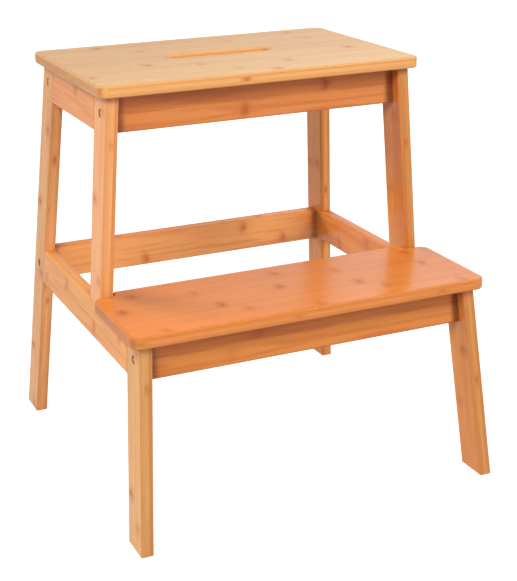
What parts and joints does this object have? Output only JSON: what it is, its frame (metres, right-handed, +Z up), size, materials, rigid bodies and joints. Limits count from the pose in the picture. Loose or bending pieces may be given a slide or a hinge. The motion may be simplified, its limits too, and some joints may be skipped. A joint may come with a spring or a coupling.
{
  "type": "step stool",
  "caption": "Two-tread wooden step stool: splayed side frames tied by cross rails, under a top board with a hand slot and a lower tread notched round the front legs.",
  "frame": {"origin": "on the floor, in the middle of the footprint", "axes": "+Z up, +X to the right of someone facing the stool ready to climb it, +Y to the back, so the lower tread is on the -Y side"},
  "size_m": [0.463, 0.47, 0.5],
  "materials": {
    "bamboo_top": "satin lacquer",
    "bamboo_step": "gloss lacquer",
    "bamboo_leg": "satin lacquer",
    "bamboo_rail": "satin lacquer",
    "dowel": "bare, fluted",
    "zinc": "yellow zinc plate"
  },
  "bodies": {
    "root": {"top_board": "bamboo_top", "step_board": "bamboo_step", "rear_leg_left": "bamboo_leg", "rear_leg_right": "bamboo_leg", "upper_front_leg_left": "bamboo_leg", "upper_front_leg_right": "bamboo_leg", "lower_front_leg_left": "bamboo_leg", "lower_front_leg_right": "bamboo_leg", "top_side_rail_left": "bamboo_rail", "top_side_rail_right": "bamboo_rail", "lower_side_rail_left": "bamboo_rail", "lower_side_rail_right": "bamboo_rail", "upper_front_apron": "bamboo_rail", "upper_rear_apron": "bamboo_rail", "lower_front_apron": "bamboo_rail", "rear_cross_rail": "bamboo_rail", "connecting_screws": "zinc", "cross_rail_dowels": "dowel", "side_rail_dowels": "dowel", "leg_foot_dowels": "dowel", "top_board_screws": "zinc", "step_board_screws": "zinc"}
  },
  "joints": []
}
